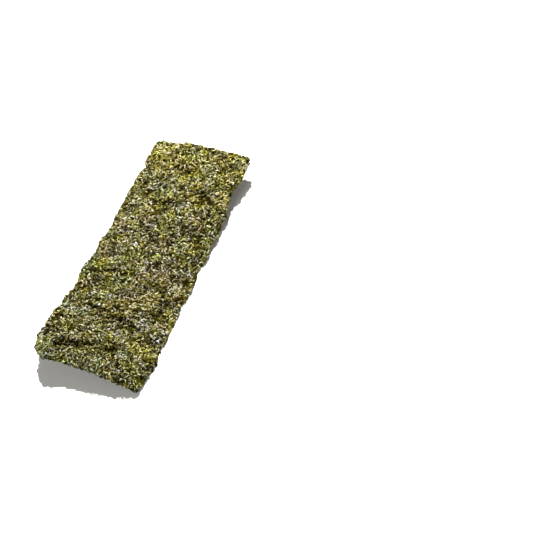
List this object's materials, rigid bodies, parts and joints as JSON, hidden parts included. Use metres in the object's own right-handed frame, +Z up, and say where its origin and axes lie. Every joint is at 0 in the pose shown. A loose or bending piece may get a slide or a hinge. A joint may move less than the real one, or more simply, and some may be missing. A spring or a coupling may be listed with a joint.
{
  "type": "dried seaweed sheet",
  "caption": "Crisp oblong strip of pressed, dried green seaweed, rough on both faces, with ragged cut edges, lifted ends and a slight twist along its length.",
  "frame": {"origin": "centre of the strip's footprint box, on the surface that it lies on", "axes": "+X across the strip, +Y along its length from the near end to the far end, +Z up through its shown face"},
  "size_m": [0.037, 0.097, 0.0061],
  "materials": {
    "seaweed": "dry felted seaweed: mixed dark green, olive and yellow-green flakes, half matt with small oily glints"
  },
  "bodies": {
    "root": {"seaweed_sheet": "seaweed"}
  },
  "joints": []
}
